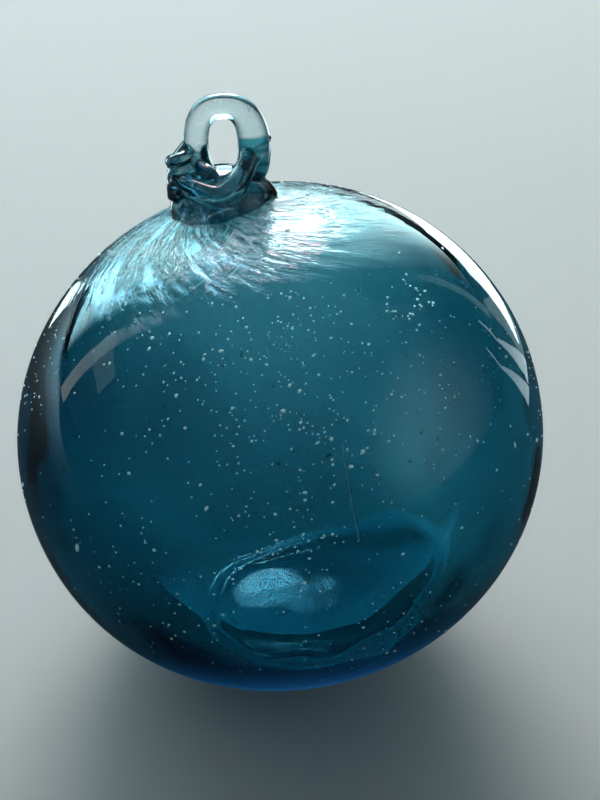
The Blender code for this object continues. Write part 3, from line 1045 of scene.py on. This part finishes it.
def draw_lap_under_hole(work):
    sill = sill_height()
    middle = ring_middle().x
    left = ring_place(200.0).x
    front = -0.5 * (THICK_STRAND + LAP)
    draw_strand(work, [
        (left, 0.4 * front, sill + 0.7 * LAP, 0.40 * LAP),
        (0.5 * (left + middle) - 1.0 * MM, 0.8 * front, sill + 0.4 * LAP, 0.45 * LAP),
        (middle - 0.4 * HOLE_WIDTH, 0.95 * front, sill - 0.15 * LAP, 0.46 * LAP),
        (middle + 0.25 * HOLE_WIDTH, 0.90 * front, sill - 0.10 * LAP, 0.46 * LAP),
        (middle + 0.75 * HOLE_WIDTH, 0.55 * front, sill + 0.6 * LAP, 0.44 * LAP),
        (middle + 1.0 * HOLE_WIDTH, 0.15 * front, sill + 1.5 * LAP, 0.40 * LAP),
        (middle + 1.05 * HOLE_WIDTH, -0.1 * front, sill + 2.1 * LAP, 0.25 * LAP)], 60, 20, FRONT)


def draw_lap_on_collar(work, drop, out, size):
    """A fold that sags on to the collar, lower by its drop, and further out and thinner as told."""
    top = collar_top()
    front = -(COLLAR_RADIUS - 0.75 * LAP)
    draw_strand(work, [
        (-0.62 * COLLAR_RADIUS, 0.4 * front, top + (0.95 - drop) * LAP, 0.9 * size * LAP),
        (-0.35 * COLLAR_RADIUS, 0.85 * out * front, top + (0.45 - drop) * LAP, size * LAP),
        (0.12 * COLLAR_RADIUS, out * front, top + (-0.2 - drop) * LAP, 1.1 * size * LAP),
        (0.55 * COLLAR_RADIUS, 0.75 * out * front, top + (0.2 - drop) * LAP, 1.1 * size * LAP),
        (0.88 * COLLAR_RADIUS, 0.25 * front, top + (1.1 - drop) * LAP, size * LAP)], 48, 20, FRONT)


def draw_laps(work):
    """The folds of the strand across the front."""
    draw_lap_under_hole(work)
    draw_lap_on_collar(work, drop=0.0, out=1.0, size=0.48)
    draw_lap_on_collar(work, drop=0.42, out=1.08, size=0.30)


def wind_ribs(work):
    """The strand's end, wound round the left leg."""
    for index in range(RIB_COUNT):
        height = sill_height() + (1.9 - index) * RIB_PITCH
        side = 0.40 * COLLAR_RADIUS - RIB / 2 + 0.16 * index * RIB_PITCH
        depth = 0.50 * COLLAR_RADIUS - RIB / 4
        radius = (0.42 if index % 2 else 0.52) * RIB
        knots = []
        for degrees in (285, 255, 225, 180, 135, 98):
            turn = math.radians(degrees)
            tuck = 0.72 if degrees in (285, 98) else 1.0
            knots.append((
                -0.4 * COLLAR_RADIUS + side * math.cos(turn), tuck * depth * math.sin(turn),
                height - 0.60 * RIB_PITCH * math.sin(turn), radius))
        draw_strand(work, knots, 40, 16, Vector((0.0, 0.0, 1.0)))


def press_drop(work):
    """The lens of glass on the collar's front."""
    drop = bmesh.ops.create_uvsphere(work, u_segments=24, v_segments=14, radius=DROP_RADIUS)["verts"]
    place = Vector((0.10 * COLLAR_RADIUS, -0.96 * COLLAR_RADIUS, collar_seat() + 0.22 * COLLAR_HEIGHT))
    lean = Matrix.Rotation(DROP_LEAN, 4, "Y")
    flatten = Matrix.Diagonal((1.0, 0.66, 0.46, 1.0))
    bmesh.ops.transform(work, matrix=Matrix.Translation(place) @ lean @ flatten, verts=drop)


def draw_left_waist(work):
    """The thick glass between the collar and the ring's left leg."""
    low = Vector((-0.5 * COLLAR_RADIUS, 0.0, collar_top() - 0.4 * COLLAR_HEIGHT))
    waist = low.lerp(ring_place(172.0), 0.5) - Vector((0.2 * THIN_STRAND, 0.0, 0.0))
    draw_strand(work, [(*low, 4.2 * MM), (*waist, 3.7 * MM), (*ring_place(178.0), 2.2 * MM)], 24, 28, FRONT)


def draw_right_flare(work):
    """The collar's right side, where it runs down on to the crown."""
    seat = collar_seat()
    foot = 1.08 * COLLAR_RADIUS
    draw_strand(work, [
        (0.6 * COLLAR_RADIUS, -0.5 * MM, seat + 0.62 * COLLAR_HEIGHT, 1.5 * MM),
        (0.86 * COLLAR_RADIUS, -1.0 * MM, seat + 0.50 * COLLAR_HEIGHT, 1.5 * MM),
        (0.99 * COLLAR_RADIUS, -0.5 * MM, seat + 0.18 * COLLAR_HEIGHT, 1.4 * MM),
        (foot, 0.0, crown_height_at(foot) - 0.4 * MM, 0.9 * MM)], 30, 16, FRONT)


def wind_loop():
    """The hanging loop: a clear ring over a foot of wound and lapped teal glass, melted into one."""
    work = bmesh.new()
    draw_strand(work, ring_knots(36), 180, 36, FRONT)
    draw_left_waist(work)
    draw_laps(work)
    wind_ribs(work)
    draw_right_flare(work)
    press_drop(work)
    bmesh.ops.create_uvsphere(
        work, u_segments=12, v_segments=8, radius=NUB_RADIUS, matrix=Matrix.Translation(NUB_PLACE))
    spin_collar(work)
    loop = fuse("hanging_loop_glass", work, MELT_VOXEL, MELT_ROUNDS)
    for vert in loop.data.vertices:
        vert.co += noise_vector(vert.co * DIMPLE_FINENESS) * DIMPLE_HEIGHT
    loop.data.transform(NECK)
    loop.data.materials.clear()
    loop.data.materials.append(loop_glass())
    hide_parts("hanging_loop")
    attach(loop, "root")


stand_camera()
light_room()
lay_floor()
hang_backdrop()
ball_skin = blow_ball()
sow_seeds(ball_skin)
draw_hairs(ball_skin)
wind_loop()
